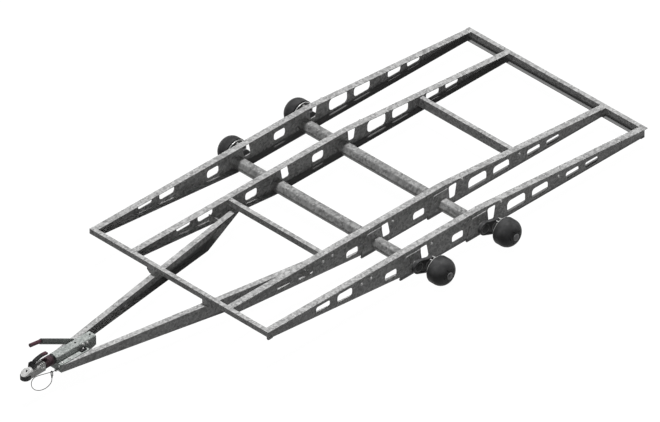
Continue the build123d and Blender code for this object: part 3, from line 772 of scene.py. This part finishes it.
for phase, radius in ((0, VALLEY_MM), (0.25, SLOPE_MM), (0.75, SLOPE_MM)):
    draw_in(at_phase(phase), radius / CREST_MM)
for end_z in (-bellows_length / 2, bellows_length / 2):
    open_edges(bellows, at_height(end_z))
    bpy.ops.mesh.extrude_edges_move()
    share = TUBE_RADIUS_MM / VALLEY_MM
    bpy.ops.transform.resize(value=(share, share, 1), center_override=(0, 0, 0))
    close_edit()
open_faces(bellows, lambda centre, normal: True)
bpy.ops.mesh.normals_make_consistent(inside=False)
close_edit()
rounding = bellows.modifiers.new("rounding", "SUBSURF")
rounding.levels = 1
rounding.render_levels = 1
work_on(bellows)
bpy.ops.object.modifier_apply(modifier="rounding")
bellows.data.transform(at(sum(BELLOWS_X_MM) / 2, 0, TUBE_AXIS_MM, "X"))
finish_piece(bellows, "chassis", "bellows_rubber")
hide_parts("draw_bellows")

# %% [markdown]
# ## Bands and cuff of the bellows
# A band clamps each end of the bellows, and a cuff carries their rear end on the housing's collar. Each is a
# rod whose ends are inset and opened.

# %% Bands and cuff of the bellows
BAND_LENGTH_MM = 7
BAND_OVER_VALLEY_MM = 3.5
BAND_SETBACKS_MM = (1, -8)
COLLAR_RADIUS_MM = 40
CUFF_OVER_COLLAR_MM = 3
CUFF_MM = 18
band = rod("band", VALLEY_MM + BAND_OVER_VALLEY_MM, BAND_LENGTH_MM, 40)
open_ends(band, 8)
band_places = [at(x + setback, 0, TUBE_AXIS_MM, "X") for x, setback in zip(BELLOWS_X_MM, BAND_SETBACKS_MM)]
set_out("bellows_bands", band, band_places, "chassis", "black_plastic")
cuff = rod("cuff", COLLAR_RADIUS_MM + CUFF_OVER_COLLAR_MM, CUFF_MM, 40)
round_edges(cuff, is_level, 1.5, 2)
open_ends(cuff, 1.2)
cuff_place = at(BELLOWS_X_MM[0] - CUFF_MM, 0, TUBE_AXIS_MM, "X")
set_out("bellows_cuff", cuff, [cuff_place], "chassis", "black_plastic")

# %% [markdown]
# ## Places of the joints
# The levers' pivots and the hubs' middles are the places of the frame's joints, so the pieces that belong to
# them take their places from there.

# %% Places of the joints
joint_mm = {
    joint["name"]: [value / MM for value in joint["pos_m"]] for joint in frame["record"]["behaviour"]["joints"]
}
HANDLE_PIVOT_MM = (joint_mm["coupling_release"][0], joint_mm["coupling_release"][2])
LEVER_PIVOT_MM = (joint_mm["handbrake_pull"][0], joint_mm["handbrake_pull"][2])
HUB_X_MM = {end: joint_mm[f"hub_{end}_left_spin"][0] for end in ("front", "rear")}
HUB_FACE_MM, HUB_Z_MM = joint_mm["hub_front_left_spin"][1:]
print("handle pivot", HANDLE_PIVOT_MM, "lever pivot", LEVER_PIVOT_MM, "hubs", HUB_X_MM, HUB_FACE_MM, HUB_Z_MM)

# %% [markdown]
# ## Coupling head
# Black moulded covers hide the handle's pivot on both sides. Two bolts on each side cross the head's ribs
# and hold it on the draw tube, and a small plug closes the lubrication hole in its slope.

# %% Coupling head
COVER_Y_MM = (15.7, 30)
COVER_BEHIND_MM = 22
COVER_AHEAD_MM = 24
COVER_UNDER_MM = 20
COVER_OVER_MM = 17
COVER_TAPER_MM = 10
COVER_TOP_SHARE = 0.7
SLOPE_PLUG_MM = (2966, 0, 292)
SLOPE_DEG = 26
HEAD_HALF_MM = 35.5
HEAD_BOLTS_X_MM = (2813.5, 2832.5)
HEAD_BOLTS_Z_MM = 267
pivot_x, pivot_z = HANDLE_PIVOT_MM
covers = []
for side in (1, -1):
    low_y, high_y = sorted(side * y for y in COVER_Y_MM)
    low = (pivot_x - COVER_BEHIND_MM, low_y, pivot_z - COVER_UNDER_MM)
    high = (pivot_x + COVER_AHEAD_MM, high_y, pivot_z + COVER_OVER_MM)
    cover = block("cover", low, high, 2.5)
    taper_z = MM * (pivot_z + COVER_TAPER_MM)
    open_edges(cover, lambda a, b: a.z > taper_z and b.z > taper_z)
    bpy.ops.transform.resize(value=(COVER_TOP_SHARE, 1, 1), center_override=(MM * pivot_x, 0, taper_z))
    close_edit()
    covers.append(cover)
finish_piece(join("pivot_covers", covers), "chassis", "black_plastic")

slope_turn = Matrix.Rotation(math.radians(SLOPE_DEG), 4, "Y")
set_out("head_slope_plug", plug, [at(*SLOPE_PLUG_MM) @ slope_turn], "chassis", "black_plastic")
head_bolts = []
for x in HEAD_BOLTS_X_MM:
    head_bolts += on_both_sides(x, HEAD_HALF_MM, HEAD_BOLTS_Z_MM)
set_out("head_bolts", m8_head, head_bolts, "chassis", "bright_zinc")

# %% [markdown]
# ## Overload stop
# Beside the left cheek of the housing a black rubber stop is screwed to the base plate. It is a block with
# its top face drawn in.

# %% Overload stop
STOP_MM = ((2374, 46, BASE_TOP_MM), (2434, 76, 254))
STOP_TOP_SHARES = (0.85, 0.75, 1)
stop = block("overload_stop", *STOP_MM, 4)
stop_top = STOP_MM[1][2]
open_faces(stop, lambda centre, normal: centre.z > MM * (stop_top - 1))
middle = [(a + b) / 2 for a, b in zip(*STOP_MM)]
bpy.ops.transform.resize(value=STOP_TOP_SHARES, center_override=[MM * value for value in middle])
close_edit()
finish_piece(stop, "chassis", "black_plastic")
stop_bolt = at(middle[0], middle[1], stop_top)
set_out("overload_stop_bolt", m8_head, [stop_bolt], "chassis", "bright_zinc")

# %% [markdown]
# ## Handbrake
# The grip is a ribbed sleeve over the lever's end. A cylinder is cut into rings, every other one is drawn in
# a little, and its outer end is stepped. A black collar closes it towards the lever, and a washer and a nut
# hold the lever on its pin.

# %% Handbrake
LEVER_MIDDLE_Y_MM = -54
LEVER_LENGTH_MM = 400
LEVER_LIFT_DEG = 27
GRIP_LIFT_DEG = 8
GRIP_RADIUS_MM = 17
SLEEVE_FOOT_MM = -11
SLEEVE_LENGTH_MM = 122
SLEEVE_RINGS = 22
GROOVE_SHARE = 0.94
COLLAR_MM = 14
PIN_END_Y_MM = -66
lift = math.radians(LEVER_LIFT_DEG)
lever_pivot = Vector((LEVER_PIVOT_MM[0], LEVER_MIDDLE_Y_MM, LEVER_PIVOT_MM[1]))
grip_foot = lever_pivot + LEVER_LENGTH_MM * Vector((math.cos(lift), 0, math.sin(lift)))
grip_place = Matrix.Translation(MM * grip_foot) @ Matrix.Rotation(math.radians(90 - GRIP_LIFT_DEG), 4, "Y")
grip = rod("handbrake_sleeve", GRIP_RADIUS_MM - 0.4, SLEEVE_LENGTH_MM, 32, SLEEVE_FOOT_MM)
step_top(grip, ((2, 0.6), (9, -1.2)))
open_edges(grip, lambda a, b: abs(a.z - b.z) > MM * SLEEVE_LENGTH_MM / 2)
bpy.ops.mesh.subdivide(number_cuts=SLEEVE_RINGS - 1)
close_edit()
ring_pitch = MM * SLEEVE_LENGTH_MM / SLEEVE_RINGS
open_edges(grip, lambda a, b: is_level(a, b) and round((a.z - MM * SLEEVE_FOOT_MM) / ring_pitch) % 2 == 1)
bpy.ops.transform.resize(value=(GROOVE_SHARE, GROOVE_SHARE, 1), center_override=(0, 0, 0))
close_edit()
grip.data.transform(grip_place)
finish_piece(grip, "handbrake", "handle_plastic")
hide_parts("handbrake_grip")

collar = rod("grip_collar", GRIP_RADIUS_MM + 1.5, COLLAR_MM, 32, -COLLAR_MM)
round_edges(collar, is_level, 2, 3)
collar.data.transform(grip_place)
finish_piece(collar, "handbrake", "black_plastic")
pin_end = at(LEVER_PIVOT_MM[0], PIN_END_Y_MM, LEVER_PIVOT_MM[1], "-Y")
set_out("lever_nut", m12_nut, [pin_end], "chassis", "bright_zinc")

# %% [markdown]
# ## Hub caps
# A pressed dust cap closes each hub. Its edge is rounded, and its middle is raised in a low step. It turns
# with the drum. Its grey is much lighter than the drum's paint, a painted highlight.

# %% Hub caps
CAP_RADIUS_MM = 30.5
CAP_EDGE_MM = 5
CAP_STEPS_MM = ((2, 1.4), (4, 1.2), (5, -0.9), (4, 2.6), (4, 0.5))
dust_cap = rod("dust_cap", CAP_RADIUS_MM, CAP_EDGE_MM, 40)
step_top(dust_cap, CAP_STEPS_MM)
for end, hub_x in HUB_X_MM.items():
    for side, place in zip(("left", "right"), on_both_sides(hub_x, HUB_FACE_MM, HUB_Z_MM)):
        corner = f"{end}_{side}"
        cap = set_out(f"dust_cap_{corner}", dust_cap, [place], f"hub_{corner}", "cap_highlight_grey")
        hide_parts(f"hub_cap_{corner}")

# %% [markdown]
# ## Brake cable sockets
# Behind each drum two bright sockets on the backplate take the brake cables, and each points to the middle
# of the axle. A socket is a stepped cylinder with a hex nut round it.

# %% Brake cable sockets
PLATE_BACK_MM = 1140
SOCKETS_MM = ((-6, 208), (18, 190))
sleeve = rod("sleeve", 7, 44, 20)
open_faces(sleeve, faces_up)
bpy.ops.mesh.inset(thickness=MM * 1.5)
bpy.ops.mesh.extrude_region_move(TRANSFORM_OT_translate={"value": (0, 0, MM * 14)})
close_edit()
socket = join("socket", [sleeve, hex_body("sleeve_nut", 20, 9, 10)])
sockets = []
for hub_x in HUB_X_MM.values():
    for left_or_right in (0, 1):
        for ahead, z in SOCKETS_MM:
            sockets.append(inward_on_both_sides(hub_x + ahead, PLATE_BACK_MM, z)[left_or_right])
set_out("brake_cable_sockets", socket, sockets, "chassis", "bright_zinc")

# %% [markdown]
# ## Swing arm eyes
# Each swing arm has a machined ring round the axle tube and another round its stub. A ring is a disc whose
# face is inset for the land, for the sunk middle and for the boss in it.

# %% Swing arm eyes
EYE_FOOT_MM = 1059
EYE_RADIUS_MM = 46
EYE_HEIGHT_MM = 5
EYE_STEPS_MM = ((9, 0), (1.5, -4), (14, 0), (2, 3))
AXLE_AHEAD_MM = 126
AXLE_ABOVE_MM = 38
AXLE_Z_MM = HUB_Z_MM + AXLE_ABOVE_MM
eye = rod("eye", EYE_RADIUS_MM, EYE_HEIGHT_MM, 40)
round_edges(eye, at_height(MM * EYE_HEIGHT_MM), 1.5, 2)
step_top(eye, EYE_STEPS_MM)
eyes = []
for hub_x in HUB_X_MM.values():
    at_axle = on_both_sides(hub_x + AXLE_AHEAD_MM, EYE_FOOT_MM, AXLE_Z_MM)
    at_stub = on_both_sides(hub_x, EYE_FOOT_MM, HUB_Z_MM)
    for pair in zip(at_axle, at_stub):
        eyes += pair
set_out("arm_eyes", eye, eyes, "chassis", "eye_iron")

# %% [markdown]
# ## Backplate rims
# Each backplate ends in a folded bright rim. A torus stretched a little along its axis gives the fold.

# %% Backplate rims
PLATE_RADIUS_MM = 115
RIM_MM = 4
RIM_STRETCH = 1.3
RIM_BEHIND_MM = 5
bpy.ops.mesh.primitive_torus_add(
    major_segments=72, minor_segments=12, major_radius=MM * (PLATE_RADIUS_MM - RIM_MM), minor_radius=MM * RIM_MM
)
rim = bpy.context.object
rim.name = "rim"
open_all(rim)
bpy.ops.transform.resize(value=(1, 1, RIM_STRETCH))
close_edit()
rim_y = PLATE_BACK_MM - RIM_BEHIND_MM
rims = [at(hub_x, side * rim_y, HUB_Z_MM, "Y") for hub_x in HUB_X_MM.values() for side in (1, -1)]
set_out("backplate_rims", rim, rims, "chassis", "bright_zinc")

# %% [markdown]
# ## Drawbar keels
# Behind its deepest point each drawbar beam keeps a deep web down to its rear end. A block is cut off along
# the flange above it and twice along its lower edge, which rises more steeply in its tail. Then it is turned
# into the line of its beam.

# %% Drawbar keels
DRAWBAR_REAR_MM = (167, 494.8)
DRAWBAR_SLOPE = 0.16436
KEEL_LENGTH_MM = 432
KEEL_PLATE_MM = 3
KEEL_BLOCK_Z_MM = (60, 215)
FLANGE_REAR_Z_MM = 211
FLANGE_FALL_MM = 143
EDGE_FRONT_Z_MM = 68
EDGE_RISE_MM = 20
TAIL_LENGTH_MM = 290
TAIL_FRONT_Z_MM = 78
TAIL_RISE_MM = 84


def trim(piece, point, normal):
    """Cut away what lies beyond a plane and close the cut."""
    open_all(piece)
    place = [MM * value for value in point]
    bpy.ops.mesh.bisect(plane_co=place, plane_no=Vector(normal).normalized(), use_fill=True, clear_outer=True)
    close_edit()


half_plate = KEEL_PLATE_MM / 2
keel_low = (0, -half_plate, KEEL_BLOCK_Z_MM[0])
keel_high = (KEEL_LENGTH_MM, half_plate, KEEL_BLOCK_Z_MM[1])
keel = block("keel", keel_low, keel_high, 0.4, 1)
trim(keel, (0, 0, FLANGE_REAR_Z_MM), (FLANGE_FALL_MM, 0, KEEL_LENGTH_MM))
trim(keel, (KEEL_LENGTH_MM, 0, EDGE_FRONT_Z_MM), (-EDGE_RISE_MM, 0, -KEEL_LENGTH_MM))
trim(keel, (TAIL_LENGTH_MM, 0, TAIL_FRONT_Z_MM), (-TAIL_RISE_MM, 0, -TAIL_LENGTH_MM))
keel_places = []
for side in (1, -1):
    foot = at(DRAWBAR_REAR_MM[0], side * (DRAWBAR_REAR_MM[1] - half_plate), 0)
    keel_places.append(foot @ Matrix.Rotation(-side * math.atan(DRAWBAR_SLOPE), 4, "Z"))
set_out("drawbar_keels", keel, keel_places, "chassis", "galvanised")

# %% [markdown]
# ## Corner foot
# Under the left front corner of the frame a rounded galvanised foot closes the end of the outer beam.

# %% Corner foot
CORNER_FOOT_MM = ((1228, 986, 243), (1284, 1013, 276))
corner_foot = block("corner_foot", *CORNER_FOOT_MM, 11, 5)
finish_piece(corner_foot, "chassis", "galvanised")

# %% [markdown]
# ## Welds
# The axle tubes are welded into the webs and their brackets. A bead is a thin rope of metal round the tube,
# so a six sided outline with rounded corners becomes a curve with a round section, and a displacement
# ripples it.

# %% Welds
TUBE_FLATS_MM = 104
TUBE_CORNER_MM = 12
BRACKET_PLATE_MM = 10
BEAD_MM = 3
RIPPLE_MM = 2
RIPPLE_SIZE_MM = 6
bpy.ops.mesh.primitive_circle_add(vertices=6, radius=MM * TUBE_FLATS_MM / math.sqrt(3), fill_type="NGON")
bead = bpy.context.object
bead.name = "bead"
bead.data.transform(Matrix.Rotation(math.radians(30), 4, "Z"))
open_all(bead)
bpy.ops.mesh.bevel(offset=MM * TUBE_CORNER_MM, segments=4, affect="VERTICES")
bpy.ops.mesh.select_all(action="SELECT")
bpy.ops.mesh.delete(type="ONLY_FACE")
bpy.ops.mesh.select_all(action="SELECT")
bpy.ops.mesh.subdivide(number_cuts=3)
close_edit()
bpy.ops.object.convert(target="CURVE")
bead.data.bevel_depth = MM * BEAD_MM
bead.data.bevel_resolution = 1
bpy.ops.object.convert(target="MESH")
ripple_texture = bpy.data.textures.new("weld_ripples", "CLOUDS")
ripple_texture.noise_scale = MM * RIPPLE_SIZE_MM
ripple = bead.modifiers.new("ripple", "DISPLACE")
ripple.texture = ripple_texture
ripple.strength = MM * RIPPLE_MM
ripple.mid_level = 0.5
work_on(bead)
bpy.ops.object.modifier_apply(modifier="ripple")
bead_places = []
for hub_x in HUB_X_MM.values():
    for face_y in WEB_FACES_MM.values():
        for y in (face_y + BRACKET_PLATE_MM, face_y - WEB_PLATE_MM):
            bead_places += on_both_sides(hub_x + AXLE_AHEAD_MM, y, AXLE_Z_MM)
set_out("axle_welds", bead, bead_places, "chassis", "galvanised")

# %% [markdown]
# ## Masters
# The masters have done their work and leave the scene.

# %% Masters
masters = (m12_head, m12_nut, m8_head, plug, band, cuff, dust_cap, socket, eye, rim, keel, bead)
for master in masters:
    bpy.data.objects.remove(master)
print("removed", len(masters), "masters")
